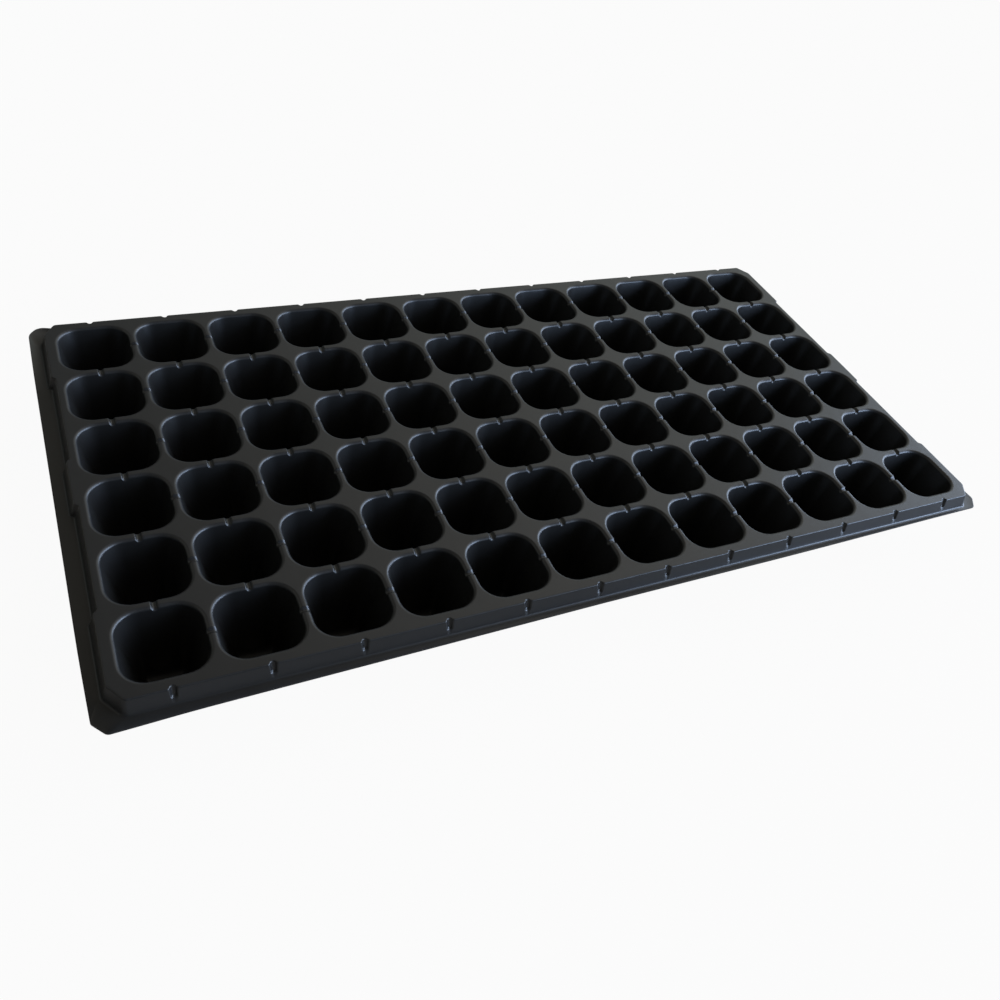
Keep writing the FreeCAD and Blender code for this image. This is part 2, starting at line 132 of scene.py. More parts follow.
# how finely each curve is divided
ROLL_STEPS = 8
GROOVE_STEPS = 5
LIP_STEPS = 3
CORNER_STEPS = 8
CUT_STEPS = 5
FLOOR_ROUND_STEPS = 6
UPPER_WALL = 7.0
LOWER_WALL_ROWS = (13.0, 21.0, 29.0)
# rows down the skirt: to the end of the dimple, and then close together round the flute's bottom
FIRST_SKIRT_ROW, DIMPLE_STEPS = 0.5, 5
FLUTE_BOTTOM, FLUTE_BOTTOM_GAP, FLUTE_BOTTOM_STEPS = 1.6, 0.05, 6
FLANGE_ROWS = (0.3, 0.6, 0.85)
# stations along the edge, between the flutes and in the recesses of the short ends
BETWEEN_FLUTES = 12
SLOPE_STEPS = 8
RECESS_MARGIN, RECESS_STEPS = 14, 5
PAST_BUTTRESS = (12, 24)
WELD = 1e-6
SHARP_ANGLE = math.radians(40)

# ---- the plastic --------------------------------------------------------------------------------

BLACK, PALER_BLACK = (0.012, 0.012, 0.0122, 1), (0.017, 0.0168, 0.0165, 1)
RUBBED_GREY = (0.030, 0.030, 0.031, 1)
SATIN = (0.30, 0.42)
STREAK_STRETCH = (1.0, 1.0, 0.06)

# ---- the studio's settings, in metres ------------------------------------------------------------

CAMERA_PLACE, CAMERA_TARGET = (-0.2543, -0.3618, 0.3941), (-0.0495, -0.0645, 0.042)
CAMERA_ROLL, CAMERA_LENS = 14.92, 32.67
FLOOR_REACH = 4.0
PAPER = (0.58, 0.53, 0.47, 1)
PAPER_GLOW = 0.95
# the sky's wall, as factors of brightness: an axis, from where to where, and the value at each end
WALL_LIGHT = (
    ("X", (-0.05, 0.80, 0.17, 1.17)),
    ("X", (-0.80, -0.25, 2.5, 1.0)),
    ("Z", (0.05, 0.45, 0.15, 1.0)),
    ("Y", (-0.15, 0.25, 0.45, 1.0)),
    ("Z", (0.84, 0.96, 1.0, 0.45)),
)
# its colour changes from the low one to the high one between these heights
WALL_TINT_HEIGHT = (0.48, 0.64)
WALL_LOW, WALL_HIGH = (0.92, 1.0, 0.96, 1), (1.0, 0.94, 0.82, 1)
WINDOW_DIRECTION = (0.963, -0.205, 0.174)
WINDOW_EDGE = (0.66, 0.95)
WINDOW_TOP = (0.78, 0.30)
WINDOW_LIGHT = 6.0
WINDOW_COLOUR = (0.60, 0.74, 1.0, 1)


def spread(first, last, steps):
    """steps + 1 even values from first to last."""
    return [first + (last - first) * k / steps for k in range(steps + 1)]


def smooth(t):
    t = min(max(t, 0.0), 1.0)
    return t * t * (3 - 2 * t)


def warp(x, y):
    """How far the thin sheet has sprung out of flat, at deck height."""
    sag = SAG * math.cos(math.pi * x / TRAY_LONG) * math.cos(math.pi * y / TRAY_WIDE)
    twist = TWIST * (x / TRAY_LONG) * (y / TRAY_WIDE) * 4
    ripple = RIPPLE * math.sin(x / RIPPLE_LONG + RIPPLE_START) * math.cos(y / RIPPLE_WIDE)
    drop = BACK_RIGHT_DROP * max(0.0, x / TRAY_LONG * 2) * max(0.0, y / TRAY_WIDE * 2)
    return twist + ripple - sag - drop


def bent_flange(x, y):
    """How far the flange's rim has been bent at a point: along x, along y and up."""
    in_band = smooth((-x - TRAY_LONG / 2 + LEFT_BAND) / LEFT_FADE)
    left = LEFT_BOW * in_band * smooth((LEFT_END - abs(y)) / LEFT_END_FADE)
    if y > FRONT_BAND - TRAY_WIDE / 2:
        away = math.hypot(x + TRAY_LONG / 2, (y - TRAY_WIDE / 2) / BACK_LEFT_STRETCH)
        back_left = smooth(1 - away / BACK_LEFT_REACH)
        return -left, BACK_LEFT_OUT * back_left, BACK_LEFT_UP * back_left
    away = math.hypot(x + TRAY_LONG / 2, y + TRAY_WIDE / 2)
    lean = FRONT_LEAN_RATE * max(0.0, -x - FRONT_LEAN_START)
    lean += FRONT_CORNER_LEAN * smooth(1 - away / FRONT_CORNER_REACH)
    right = smooth((x - FRONT_RIGHT_START) / FRONT_RIGHT_FADE)
    across = FRONT_RIGHT_IN * right - FRONT_LEAN_OUT * lean
    return -left, across, FRONT_RIGHT_UP * right - FRONT_LEAN_DOWN * lean


# ---- a mesh under construction ------------------------------------------------------------------


class Sheet:
    """The points and faces of one piece. Each point also has a wear value and a draw vector.

    Wear is 1 on the edges that hands and other trays rub. Draw runs round a cup and down it, the way
    the hot sheet was stretched.
    """

    def __init__(self):
        self.points, self.faces, self.wear, self.draw = [], [], [], []

    def add_loop(self, points, wear=0.0, draw=None):
        first = len(self.points)
        self.points += points
        self.wear += [wear] * len(points)
        self.draw += draw or [(0.0, 0.0, 0.0)] * len(points)
        return list(range(first, len(self.points)))

    def band(self, outer, inner, facing_up, kept=None):
        """Faces between two closed loops. kept are the places in outer that inner has points for."""
        kept = kept or list(range(len(outer)))
        for n, start in enumerate(kept):
            stop = kept[(n + 1) % len(kept)]
            span = (stop - start) % len(outer)
            chain = [outer[(start + k) % len(outer)] for k in range(span + 1)]
            face = chain + [inner[(n + 1) % len(inner)], inner[n]]
            self.faces.append(face if facing_up else face[::-1])


def make_piece(name, sheet, nodes, material):
    mesh = bpy.data.meshes.new(name)
    placed = []
    for x, y, z in sheet.points:
        rise = warp(x, y) * z / DECK
        placed.append((x * MILLIMETRE, y * MILLIMETRE, (z + rise) * MILLIMETRE))
    mesh.from_pydata(placed, [], sheet.faces)
    mesh.attributes.new("wear", "FLOAT", "POINT").data.foreach_set("value", sheet.wear)
    draw = [number for vector in sheet.draw for number in vector]
    mesh.attributes.new("draw", "FLOAT_VECTOR", "POINT").data.foreach_set("vector", draw)
    welded = bmesh.new()
    welded.from_mesh(mesh)
    bmesh.ops.remove_doubles(welded, verts=welded.verts, dist=WELD)
    welded.to_mesh(mesh)
    welded.free()
    mesh.materials.append(material)
    mesh.shade_smooth()
    mesh.set_sharp_from_angle(angle=SHARP_ANGLE)
    piece = bpy.data.objects.new(name, mesh)
    bpy.context.scene.collection.objects.link(piece)
    weighted = piece.modifiers.new("even_shading", "WEIGHTED_NORMAL")
    weighted.keep_sharp = True
    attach(piece, "root")
    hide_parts(*nodes)
    return piece


def channel(radius, above, lip):
    """Half the cross-section of a round channel with softened edges: (distance, depth) pairs."""
    turn = math.acos((above + lip) / (radius + lip))
    edge = (radius + lip) * math.sin(turn)
    pairs = [
        (radius * math.sin(a), radius * math.cos(a) - above) for a in spread(0, turn, GROOVE_STEPS)
    ]
    for b in spread(turn, 0, LIP_STEPS)[1:]:
        pairs.append((edge - lip * math.sin(b), lip * (1 - math.cos(b))))
    return pairs


def across_channel(pairs):
    """The whole cross-section, from one side to the other."""
    return [(-distance, depth) for distance, depth in pairs[:0:-1]] + pairs


# ---- the cups -----------------------------------------------------------------------------------

SIDES = ("right", "back", "left", "front")


def around_mouth(face, neighbours):
    """The stations round a cup's mouth, anticlockwise from the front end of its right wall.

    Each has a pivot, the direction from it to the wall, the groove's depth there, the point where it
    meets the edge of the cup's square of the deck, and whether the plain lower wall keeps it.
    """
    corner = face["corner"]
    reaches = (face["mouth_long"], face["mouth_wide"])
    squares = (PITCH_LONG / 2, PITCH_WIDE / 2)
    groove = channel(face["groove_radius"], face["groove_above"], face["groove_lip"])
    stations = []
    for quarter, side in enumerate(SIDES):
        turned = Matrix.Rotation(quarter * math.pi / 2, 2)
        reach, square = reaches[quarter % 2] - corner, squares[quarter % 2]
        flat, far_square = reaches[1 - quarter % 2] - corner, squares[1 - quarter % 2]
        middle = (flat + groove[-1][0]) / 2
        along = [(-flat, 0.0), (-middle, 0.0)] + across_channel(groove)
        along += [(middle, 0.0), (flat, 0.0)]
        for distance, depth in along:
            kept = distance in (-flat, 0.0, flat)
            depth = depth if side in neighbours else 0.0
            pivot = turned @ Vector((reach, distance))
            edge = turned @ Vector((square, distance))
            stations.append((pivot, turned @ Vector((1.0, 0.0)), depth, edge, kept))
        pivot = turned @ Vector((reach, flat))
        for angle in spread(0, math.pi / 2, CORNER_STEPS)[1:-1]:
            if angle < math.pi / 4 + 1e-6:
                edge = Vector((square, flat + (far_square - flat) * math.tan(angle)))
            else:
                edge = Vector((reach + (square - reach) / math.tan(angle), far_square))
            direction = Vector((math.cos(angle), math.sin(angle)))
            stations.append((pivot, turned @ direction, 0.0, turned @ edge, True))
    return stations


def cup_face(sheet, face, centre, neighbours, facing_up):
    """One face of a cup and its square of the deck. Returns its two loops of boundary points."""
    stations = around_mouth(face, neighbours)
    kept = [k for k, station in enumerate(stations) if station[4]]
    plain = [stations[k] for k in kept]
    slope = math.tan(DRAFT)
    turn = math.pi / 2 - DRAFT
    roll = face["roll"]
    roll_start = roll * math.tan(turn / 2)
    floor_depth = face["deck"] - face["floor"]

    def loop(row, profile, wear=0.0):
        """A loop of points. profile gives each station's distance out from the wall and depth."""
        points, draw = [], []
        for pivot, direction, groove, _, _ in row:
            outward, depth = profile(groove)
            # below the height where the corners close up, the sides alone bound the loop
            reach_x, reach_y = face["mouth_long"] + outward, face["mouth_wide"] + outward
            spot = pivot + direction * max(face["corner"] + outward, 0.0)
            x = min(max(spot.x, -reach_x), reach_x)
            y = min(max(spot.y, -reach_y), reach_y)
            points.append((centre.x + x, centre.y + y, face["deck"] - depth))
            draw.append((direction.x, direction.y, depth / DECK))
        return sheet.add_loop(points, wear, draw)

    edge = []
    for _, _, groove, spot, _ in stations:
        edge.append((centre.x + spot.x, centre.y + spot.y, face["deck"] - groove))
    loops = [sheet.add_loop(edge)]
    for angle in spread(0, turn, ROLL_STEPS):
        out = roll_start - roll * math.sin(angle)
        down = roll * (1 - math.cos(angle))
        wear = math.sin(math.pi * angle / turn)
        loops.append(loop(stations, lambda g, o=out, d=down: (o - g * slope, d + g), wear))
    lowest_roll = roll * (1 - math.cos(turn))
    for share in (0.5, 1.0):

        def upper(groove, share=share):
            depth = (lowest_roll + groove) * (1 - share) + UPPER_WALL * share
            return -depth * slope, depth

        loops.append(loop(stations, upper))
    for above, below in zip(loops, loops[1:]):
        sheet.band(above, below, facing_up)

    lower = [loop(plain, lambda g, d=row: (-d * slope, d)) for row in LOWER_WALL_ROWS]
    foot = face["floor_round"] * math.tan(turn / 2)
    for angle in spread(turn, 0, FLOOR_ROUND_STEPS):
        out = -floor_depth * slope - foot + face["floor_round"] * math.sin(angle)
        down = floor_depth - face["floor_round"] * (1 - math.cos(angle))
        lower.append(loop(plain, lambda g, o=out, d=down: (o, d)))
    drain = []
    for pivot, direction, _, _, _ in plain:
        spoke = (pivot + direction * face["corner"]).normalized() * DRAIN_RADIUS
        drain.append((centre.x + spoke.x, centre.y + spoke.y, face["floor"]))
    lower.append(sheet.add_loop(drain))
    sheet.band(loops[-1], lower[0], facing_up, kept)
    for above, below in zip(lower, lower[1:]):
        sheet.band(above, below, facing_up)
    return loops[0], lower[-1]


def close_square(sheet, top_loop, under_loop, centre, open_sides):
    """The sheet's cut sides, where this cup's square of the deck meets another piece."""
    bounds = {
        "right": (0, centre.x + PITCH_LONG / 2),
        "left": (0, centre.x - PITCH_LONG / 2),
        "back": (1, centre.y + PITCH_WIDE / 2),
        "front": (1, centre.y - PITCH_WIDE / 2),
    }
    count = len(top_loop)
    for side in open_sides:
        axis, place = bounds[side]
        for k in range(count):
            a, b = top_loop[k], top_loop[(k + 1) % count]
            if all(abs(sheet.points[n][axis] - place) < WELD for n in (a, b)):
                sheet.faces.append([b, a, under_loop[k], under_loop[(k + 1) % count]])


def build_column(column, material):
    sheet = Sheet()
    for row in range(CUPS_WIDE):
        centre = Vector(
            (
                (column - (CUPS_LONG - 1) / 2) * PITCH_LONG,
                (row - (CUPS_WIDE - 1) / 2) * PITCH_WIDE,
            )
        )
        beside = {
            "right": column < CUPS_LONG - 1,
            "left": column > 0,
            "back": row < CUPS_WIDE - 1,
            "front": row > 0,
        }
        neighbours = [side for side in SIDES if beside[side]]
        top_edge, top_drain = cup_face(sheet, TOP, centre, neighbours, True)
        under_edge, under_drain = cup_face(sheet, UNDERSIDE, centre, neighbours, False)
        sheet.band(top_drain, under_drain, True)
        cut = ["right", "left"] + [side for side in ("front", "back") if not beside[side]]
        close_square(sheet, top_edge, under_edge, centre, cut)
    name = f"cup_column_{column + 1:02d}"
    return make_piece(f"{name}_formed", sheet, [name], material)


# ---- the edge: the deck's border, the skirt and the flange -----------------------------------------


def buttress_recess(y):
    """How far the short ends stand back from the deck's edge, between their three buttresses."""
    inner = smooth((abs(y) - BUTTRESS_START) / BUTTRESS_SLOPE)
    outer = smooth((BUTTRESS_END - abs(y)) / BUTTRESS_SLOPE)
    return BUTTRESS_DEPTH * min(inner, outer)


def along_long_side(flat, flute):
    """(place, distance from the flute's middle) along a long side, with a flute at each cup."""
    places = [(-flat, None)]
    reach = flute[-1][0]
    for n in range(CUPS_LONG):
        middle = (n - (CUPS_LONG - 1) / 2) * PITCH_LONG
        for distance, _ in across_channel(flute):
            places.append((middle + distance, distance))
        if n < CUPS_LONG - 1:
            first = reach + BETWEEN_FLUTES
            places += [(middle + step, None) for step in (first, PITCH_LONG - first)]
    places.append((flat, None))
    return places


def along_short_side(flat):
    """Places along a short side, close together where the recesses begin and end."""
    half = [0.0, BUTTRESS_START / 2]
    half += spread(BUTTRESS_START, BUTTRESS_START + BUTTRESS_SLOPE, SLOPE_STEPS)
    half += spread(BUTTRESS_START + RECESS_MARGIN, BUTTRESS_END - RECESS_MARGIN, RECESS_STEPS)
    half += spread(BUTTRESS_END - BUTTRESS_SLOPE, BUTTRESS_END, SLOPE_STEPS)
    half += [BUTTRESS_END + past for past in PAST_BUTTRESS] + [flat]
    return [-y for y in half[:0:-1]] + half


def cut_corner(edge_x, edge_y, cut_x, cut_y, radius):
    """The centres of the two arcs that round the ends of a cut corner, and the cut's own direction."""
    length = math.hypot(cut_x, cut_y)
    first = Vector((edge_x - radius, edge_y - cut_y + (cut_y - length) * radius / cut_x))
    second = Vector((edge_x - cut_x + (cut_x - length) * radius / cut_y, edge_y - radius))
    return first, second, math.atan2(cut_x, cut_y)


def around_edge(face):
    """The stations round the deck's edge, anticlockwise from the front end of the right side.

    Each has a pivot, the direction out of it, the recess, the distance from a flute's middle, and
    the points where it meets the grid of cups and the edge of the flange.
    """
    inset = face["skirt_inset"]
    edges = (
        (CUPS_LONG - 1) * PITCH_LONG / 2 + DECK_MARGIN - inset,
        (CUPS_WIDE - 1) * PITCH_WIDE / 2 + DECK_MARGIN - inset,
    )
    grids = (CUPS_LONG * PITCH_LONG / 2, CUPS_WIDE * PITCH_WIDE / 2)
    flanges = (TRAY_LONG / 2, TRAY_WIDE / 2)
    radius = face["skirt_corner"]
    # the underside's cut runs parallel to the top's, so it is a little shorter
    deck_length = math.hypot(*DECK_CUT)
    cuts = (
        DECK_CUT[0] - inset * (DECK_CUT[0] + DECK_CUT[1] - deck_length) / DECK_CUT[1],
        DECK_CUT[1] - inset * (DECK_CUT[0] + DECK_CUT[1] - deck_length) / DECK_CUT[0],
    )
    flute = channel(face["flute_radius"], 0.0, face["flute_lip"])
    stations = []
    for quarter in range(4):
        turned = Matrix.Rotation(quarter * math.pi / 2, 2)
        here, there = quarter % 2, 1 - quarter % 2
        first, second, cut_turn = cut_corner(
            edges[here], edges[there], cuts[here], cuts[there], radius
        )
        rim_round = FLANGE_CORNERS[quarter]
        rim_first, rim_second, rim_turn = cut_corner(
            flanges[here], flanges[there], FLANGE_CUT[here], FLANGE_CUT[there], rim_round
        )
        if here == 0:
            places = [(y, None, buttress_recess(y)) for y in along_short_side(first.y)]
        else:
            places = [(x, distance, 0.0) for x, distance in along_long_side(first.y, flute)]
        for place, distance, recess in places:
            inner = min(max(place, -grids[there]), grids[there])
            stations.append(
                {
                    "pivot": turned @ Vector((first.x, place)),
                    "direction": turned @ Vector((1.0, 0.0)),
                    "recess": recess,
                    "flute": distance,
                    "grid": turned @ Vector((grids[here], inner)),
                    "flange": turned @ Vector((flanges[here], place)),
                }
            )
        arcs = [
            (first, rim_first, spread(0, cut_turn, CUT_STEPS), spread(0, rim_turn, CUT_STEPS)),
            (
                second,
                rim_second,
                spread(cut_turn, math.pi / 2, CUT_STEPS),
                spread(rim_turn, math.pi / 2, CUT_STEPS),
            ),
        ]
        for pivot, rim_pivot, angles, rim_angles in arcs:
            for angle, rim_angle in zip(angles, rim_angles):
                rim = Vector((math.cos(rim_angle), math.sin(rim_angle))) * rim_round
                stations.append(
                    {
                        "pivot": turned @ pivot,
                        "direction": turned @ Vector((math.cos(angle), math.sin(angle))),
                        "recess": 0.0,
                        "flute": None,
                        "grid": turned @ Vector((grids[here], grids[there])),
                        "flange": turned @ (rim_pivot + rim),
                    }
                )
    return stations


def flute_scale(down):
    """How wide a flute is at a distance down the skirt, against its width at the deck's edge."""
    return FLUTE_NARROW + (1 - FLUTE_NARROW) * smooth(1 - down / FLUTE_DIMPLE)


def flute_depth(face, distance, down):
    """How deep a flute is, sideways from its middle and down the skirt. It ends in a round bottom."""
    if distance is None:
        return 0.0
    scale = flute_scale(down)
    radius, lip = face["flute_radius"] * scale, face["flute_lip"] * scale
    past = max(0.0, down - (SKIRT_DROP - FLUTE_END - radius) / math.cos(LEAN))
    away = math.hypot(distance * scale, past)
    edge = math.sqrt((radius + lip) ** 2 - lip**2)
    if away >= edge:
        return 0.0
    tangent = edge * radius / (radius + lip)
    if away <= tangent:
        return math.sqrt(radius**2 - away**2)
    return lip - math.sqrt(max(lip**2 - (edge - away) ** 2, 0.0))


def edge_face(sheet, face, facing_up):
    """One face of the edge, from the grid of cups to the rim of the flange."""
    stations = around_edge(face)
    slope = math.tan(LEAN)
    turn = math.pi / 2 - LEAN
    roll_start = face["edge_roll"] * math.tan(turn / 2)
    foot = face["foot_round"] * math.tan(turn / 2)
    deck = face["deck"]
    flange = deck - SKIRT_DROP

    # (distance out from the deck's edge, depth, distance down the skirt, wear) of each row
    rows = []
    for angle in spread(0, turn, ROLL_STEPS):
        out = face["edge_roll"] * math.sin(angle) - roll_start
        down = face["edge_roll"] * (1 - math.cos(angle))
        rows.append((out, down, 0.0, math.sin(math.pi * angle / turn)))
    straight = SKIRT_DROP / math.cos(LEAN) - foot
    flute_foot = (SKIRT_DROP - FLUTE_END) / math.cos(LEAN)
    bottom = (flute_foot - FLUTE_BOTTOM, flute_foot - FLUTE_BOTTOM_GAP)
    steps = spread(FIRST_SKIRT_ROW, FLUTE_DIMPLE, DIMPLE_STEPS) + spread(*bottom, FLUTE_BOTTOM_STEPS)
    for step in steps + [straight]:
        rows.append((step * math.sin(LEAN), step * math.cos(LEAN), step, 0.0))
    for angle in spread(turn, 0, ROLL_STEPS)[1:]:
        out = SKIRT_DROP * slope + foot - face["foot_round"] * math.sin(angle)
        down = SKIRT_DROP - face["foot_round"] * (1 - math.cos(angle))
        rows.append((out, down, straight, 0.0))

    loops = [sheet.add_loop([(s["grid"].x, s["grid"].y, deck) for s in stations])]
    for out, down, step, wear in rows:
        points = []
        for s in stations:
            depth = flute_depth(face, s["flute"], step) / math.cos(LEAN)
            spot = s["pivot"] + s["direction"] * (face["skirt_corner"] + out - depth - s["recess"])
            if s["flute"] is not None:
                along = Vector((-s["direction"].y, s["direction"].x))
                spot += along * s["flute"] * (flute_scale(step) - 1)
            points.append((spot.x, spot.y, deck - down))
        loops.append(sheet.add_loop(points, wear))

    # (share of the way from the skirt's foot to the rim, distance in from the rim, depth, wear)
    rim_rows = [(share, 0.0, 0.0, 0.0) for share in FLANGE_ROWS]
    if facing_up:
        rounding = FLANGE_EDGE_ROUND
        rim_rows += [(1.0, rounding, 0.0, 0.6), (1.0, 0.3 * rounding, 0.3 * rounding, 1.0)]
        rim_rows += [(1.0, 0.0, rounding, 1.0)]
    else:
        rim_rows += [(1.0, 0.0, 0.0, 0.0)]
    foot_out = face["skirt_corner"] + SKIRT_DROP * slope + foot
    for share, inward, down, wear in rim_rows:
        points = []
        for s in stations:
            start = s["pivot"] + s["direction"] * (foot_out - s["recess"])
            spot = start.lerp(s["flange"], share) - s["direction"] * inward
            along, across, lift = (bend * share**2 for bend in bent_flange(*s["flange"]))
            points.append((spot.x + along, spot.y + across, flange - down + lift))
        loops.append(sheet.add_loop(points, wear))
    for inner, outer in zip(loops, loops[1:]):
        sheet.band(outer, inner, facing_up)
    return loops[0], loops[-1]


def build_edge(material):
    sheet = Sheet()
    top_grid, top_rim = edge_face(sheet, TOP, True)
    under_grid, under_rim = edge_face(sheet, UNDERSIDE, False)
    sheet.band(under_grid, top_grid, True)
    sheet.band(under_rim, top_rim, True)
    nodes = [
        f"{ring}_{side}"
        for ring in ("deck_border", "skirt", "flange")
        for side in ("front", "right", "back", "left")
    ]
    return make_piece("tray_edge_formed", sheet, nodes, material)


# ---- material -----------------------------------------------------------------------------------


def add_node(tree, kind, place, **settings):
    node = tree.nodes.new(kind)
    node.location = place
    for name, value in settings.items():
        if name in node.inputs:
            node.inputs[name].default_value = value
        else:
            setattr(node, name, value)
    return node


def black_plastic():
    material = bpy.data.materials.new("tray_plastic")
    material.use_nodes = True
    tree = material.node_tree
    tree.nodes.clear()
    link = tree.links.new
    output = add_node(tree, "ShaderNodeOutputMaterial", (900, 0))
    plastic = add_node(tree, "ShaderNodeBsdfPrincipled", (600, 0), IOR=1.55)
    link(plastic.outputs["BSDF"], output.inputs["Surface"])
    where = add_node(tree, "ShaderNodeTexCoord", (-1100, 0))
    wear = add_node(tree, "ShaderNodeAttribute", (-1100, -300), attribute_name="wear")
    draw = add_node(tree, "ShaderNodeAttribute", (-1100, -500), attribute_name="draw")

    # colour: black, a little uneven, with the faintest grey where edges have been rubbed
    cloud = add_node(tree, "ShaderNodeTexNoise", (-800, 300), Scale=45.0, Detail=4.0)
    link(where.outputs["Object"], cloud.inputs["Vector"])
    tint = add_node(tree, "ShaderNodeMix", (-500, 300), data_type="RGBA")
    tint.inputs["A"].default_value = BLACK
    tint.inputs["B"].default_value = PALER_BLACK
    link(cloud.outputs["Fac"], tint.inputs["Factor"])
    grime = add_node(tree, "ShaderNodeTexNoise", (-800, 550), Scale=900.0, Detail=3.0)
    link(where.outputs["Object"], grime.inputs["Vector"])
    rubbed = add_node(tree, "ShaderNodeMath", (-500, 550), operation="MULTIPLY")
    link(grime.outputs["Fac"], rubbed.inputs[0])
    link(wear.outputs["Fac"], rubbed.inputs[1])
    worn = add_node(tree, "ShaderNodeMix", (-200, 300), data_type="RGBA")
    worn.inputs["B"].default_value = RUBBED_GREY
    link(rubbed.outputs[0], worn.inputs["Factor"])
    link(tint.outputs["Result"], worn.inputs["A"])
    link(worn.outputs["Result"], plastic.inputs["Base Color"])

    # roughness: satin, uneven over a few centimetres
    haze = add_node(tree, "ShaderNodeTexNoise", (-800, 0), Scale=28.0, Detail=5.0, Roughness=0.6)
    link(where.outputs["Object"], haze.inputs["Vector"])
    satin = add_node(tree, "ShaderNodeMapRange", (-500, 0))
    satin.inputs["To Min"].default_value, satin.inputs["To Max"].default_value = SATIN
    link(haze.outputs["Fac"], satin.inputs["Value"])
    link(satin.outputs["Result"], plastic.inputs["Roughness"])

    # relief: a fine grain, a soft swell, and the streaks that forming draws down the cups
    grain = add_node(tree, "ShaderNodeTexNoise", (-800, -300), Scale=1400.0, Detail=2.0)
    link(where.outputs["Object"], grain.inputs["Vector"])
    fine = add_node(tree, "ShaderNodeBump", (0, -300), Strength=0.25, Distance=0.00004)
    link(grain.outputs["Fac"], fine.inputs["Height"])
    swell = add_node(tree, "ShaderNodeTexNoise", (-800, -700), Scale=70.0, Detail=2.0)
    link(where.outputs["Object"], swell.inputs["Vector"])
    soft = add_node(tree, "ShaderNodeBump", (200, -400), Strength=0.35, Distance=0.0003)
    link(swell.outputs["Fac"], soft.inputs["Height"])
    link(fine.outputs["Normal"], soft.inputs["Normal"])
    stretch = add_node(tree, "ShaderNodeVectorMath", (-800, -500), operation="MULTIPLY")
    stretch.inputs[1].default_value = STREAK_STRETCH
    link(draw.outputs["Vector"], stretch.inputs[0])
    streak = add_node(tree, "ShaderNodeTexNoise", (-500, -500), Scale=16.0, Detail=3.0)
    link(stretch.outputs["Vector"], streak.inputs["Vector"])
    drawn = add_node(tree, "ShaderNodeBump", (400, -500), Strength=0.1, Distance=0.0003)
    link(streak.outputs["Fac"], drawn.inputs["Height"])
    link(soft.outputs["Normal"], drawn.inputs["Normal"])
    link(drawn.outputs["Normal"], plastic.inputs["Normal"])
    return material


# ---- the studio ---------------------------------------------------------------------------------


def build_floor():
    """White paper, which glows for the camera's own rays, so that hardly any shadow shows on it."""
    mesh = bpy.data.meshes.new("studio_floor")
    reach = FLOOR_REACH
    corners = [(-reach, -reach, 0), (reach, -reach, 0), (reach, reach, 0), (-reach, reach, 0)]
    mesh.from_pydata(corners, [], [(0, 1, 2, 3)])
    material = bpy.data.materials.new("studio_paper")
    material.use_nodes = True
    tree = material.node_tree
    tree.nodes.clear()
    link = tree.links.new
    output = add_node(tree, "ShaderNodeOutputMaterial", (600, 0))
    blend = add_node(tree, "ShaderNodeMixShader", (400, 0))
    link(blend.outputs["Shader"], output.inputs["Surface"])
    paper = add_node(tree, "ShaderNodeBsdfDiffuse", (0, 100), Color=PAPER)
    link(paper.outputs["BSDF"], blend.inputs[1])
    glow = add_node(tree, "ShaderNodeEmission", (0, -100), Color=(1, 1, 1, 1), Strength=1.0)
    link(glow.outputs["Emission"], blend.inputs[2])
    ray = add_node(tree, "ShaderNodeLightPath", (0, 400))
    share = add_node(tree, "ShaderNodeMath", (200, 300), operation="MULTIPLY")
    share.inputs[1].default_value = PAPER_GLOW
    link(ray.outputs["Is Camera Ray"], share.inputs[0])
    link(share.outputs[0], blend.inputs[0])
    mesh.materials.append(material)
    floor = bpy.data.objects.new("studio_floor", mesh)
    bpy.context.scene.collection.objects.link(floor)


def aim(thing, target, roll=0.0):
    """Turns a camera or a light to look at a point, rolled clockwise by roll degrees."""
    look = Vector(target) - thing.location
    turned = look.to_track_quat("-Z", "Y").to_matrix() @ Matrix.Rotation(math.radians(roll), 3, "Z")
    thing.rotation_euler = turned.to_euler()


def add_softbox(name, place, target, size, power, colour):
    light = bpy.data.lights.new(name, "AREA")
    light.shape = "RECTANGLE"
    light.size, light.size_y = size
    light.energy = power
    light.color = colour
    softbox = bpy.data.objects.new(name, light)
    bpy.context.scene.collection.objects.link(softbox)
    softbox.location = place
    aim(softbox, target)


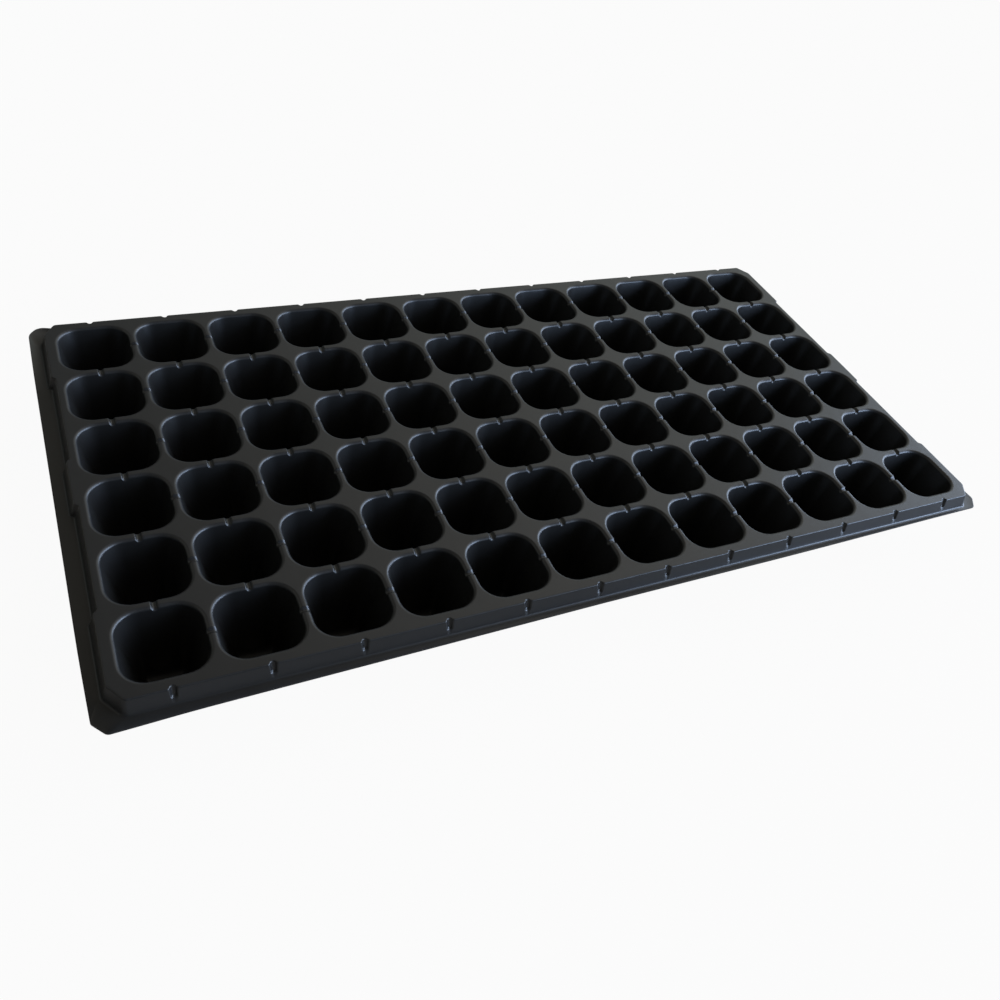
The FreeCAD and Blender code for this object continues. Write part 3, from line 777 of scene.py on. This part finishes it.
def build_world():
    """A dark studio with a pale wall to the right, and a low window at its front end.

    The camera itself sees plain white above the floor.
    """
    world = bpy.data.worlds.new("studio")
    world.use_nodes = True
    bpy.context.scene.world = world
    tree = world.node_tree
    tree.nodes.clear()
    link = tree.links.new
    output = add_node(tree, "ShaderNodeOutputWorld", (1200, 0))
    shown = add_node(tree, "ShaderNodeMixShader", (1000, 0))
    link(shown.outputs["Shader"], output.inputs["Surface"])
    ray = add_node(tree, "ShaderNodeLightPath", (800, 300))
    link(ray.outputs["Is Camera Ray"], shown.inputs[0])
    backdrop = add_node(tree, "ShaderNodeBackground", (800, -200), Color=(1, 1, 1, 1))
    link(backdrop.outputs["Background"], shown.inputs[2])
    total = add_node(tree, "ShaderNodeAddShader", (800, 0))
    link(total.outputs["Shader"], shown.inputs[1])
    where = add_node(tree, "ShaderNodeTexCoord", (-800, 0))
    axes = add_node(tree, "ShaderNodeSeparateXYZ", (-600, 200))
    link(where.outputs["Generated"], axes.inputs["Vector"])

    # the wall: the product of the factors in WALL_LIGHT. It is brightest to the right, dark in the
    # middle and a little brighter at the far left, and fades at its foot, in front and overhead
    wall = add_node(tree, "ShaderNodeBackground", (600, 200))
    strength = None
    for row, (axis, limits) in enumerate(WALL_LIGHT):
        ramp = add_node(tree, "ShaderNodeMapRange", (-200, 1000 - 200 * row))
        for name, value in zip(("From Min", "From Max", "To Min", "To Max"), limits):
            ramp.inputs[name].default_value = value
        link(axes.outputs[axis], ramp.inputs["Value"])
        if strength is None:
            strength = ramp.outputs["Result"]
            continue
        product = add_node(tree, "ShaderNodeMath", (200, 900 - 200 * row), operation="MULTIPLY")
        link(strength, product.inputs[0])
        link(ramp.outputs["Result"], product.inputs[1])
        strength = product.outputs[0]
    link(strength, wall.inputs["Strength"])
    upward = add_node(tree, "ShaderNodeMapRange", (-200, -100), interpolation_type="SMOOTHSTEP")
    upward.inputs["From Min"].default_value, upward.inputs["From Max"].default_value = (
        WALL_TINT_HEIGHT
    )
    link(axes.outputs["Z"], upward.inputs["Value"])
    tint = add_node(tree, "ShaderNodeMix", (200, 100), data_type="RGBA")
    tint.inputs["A"].default_value = WALL_LOW
    tint.inputs["B"].default_value = WALL_HIGH
    link(upward.outputs["Result"], tint.inputs["Factor"])
    link(tint.outputs["Result"], wall.inputs["Color"])
    link(wall.outputs["Background"], total.inputs[0])

    # the window: a soft patch of cool light near the horizon
    window = add_node(tree, "ShaderNodeBackground", (600, -300), Color=WINDOW_COLOUR)
    across = add_node(tree, "ShaderNodeVectorMath", (-400, -300), operation="DOT_PRODUCT")
    across.inputs[1].default_value = Vector(WINDOW_DIRECTION).normalized()
    link(where.outputs["Generated"], across.inputs[0])
    patch = add_node(tree, "ShaderNodeMapRange", (-200, -350), interpolation_type="SMOOTHSTEP")
    patch.inputs["From Min"].default_value, patch.inputs["From Max"].default_value = WINDOW_EDGE
    patch.inputs["To Max"].default_value = WINDOW_LIGHT
    link(across.outputs["Value"], patch.inputs["Value"])
    low = add_node(tree, "ShaderNodeMapRange", (-200, -600), interpolation_type="SMOOTHSTEP")
    low.inputs["From Min"].default_value, low.inputs["From Max"].default_value = WINDOW_TOP
    link(axes.outputs["Z"], low.inputs["Value"])
    lit = add_node(tree, "ShaderNodeMath", (200, -400), operation="MULTIPLY")
    link(patch.outputs["Result"], lit.inputs[0])
    link(low.outputs["Result"], lit.inputs[1])
    link(lit.outputs[0], window.inputs["Strength"])
    link(window.outputs["Background"], total.inputs[1])


def build_camera():
    camera = bpy.data.cameras.new("camera")
    camera.sensor_width = 36.0
    camera.lens = CAMERA_LENS
    camera.clip_start = 0.01
    holder = bpy.data.objects.new("camera", camera)
    bpy.context.scene.collection.objects.link(holder)
    holder.location = CAMERA_PLACE
    aim(holder, CAMERA_TARGET, roll=CAMERA_ROLL)
    bpy.context.scene.camera = holder


plastic = black_plastic()
for column in range(CUPS_LONG):
    build_column(column, plastic)
build_edge(plastic)
build_floor()
build_world()
add_softbox(
    "low_right",
    place=(0.75, -0.75, 0.25),
    target=(0.25, -0.2, 0.0),
    size=(0.5, 0.3),
    power=4.0,
    colour=(0.5, 0.68, 1.0),
)
build_camera()
bpy.context.scene.view_settings.view_transform = "Standard"
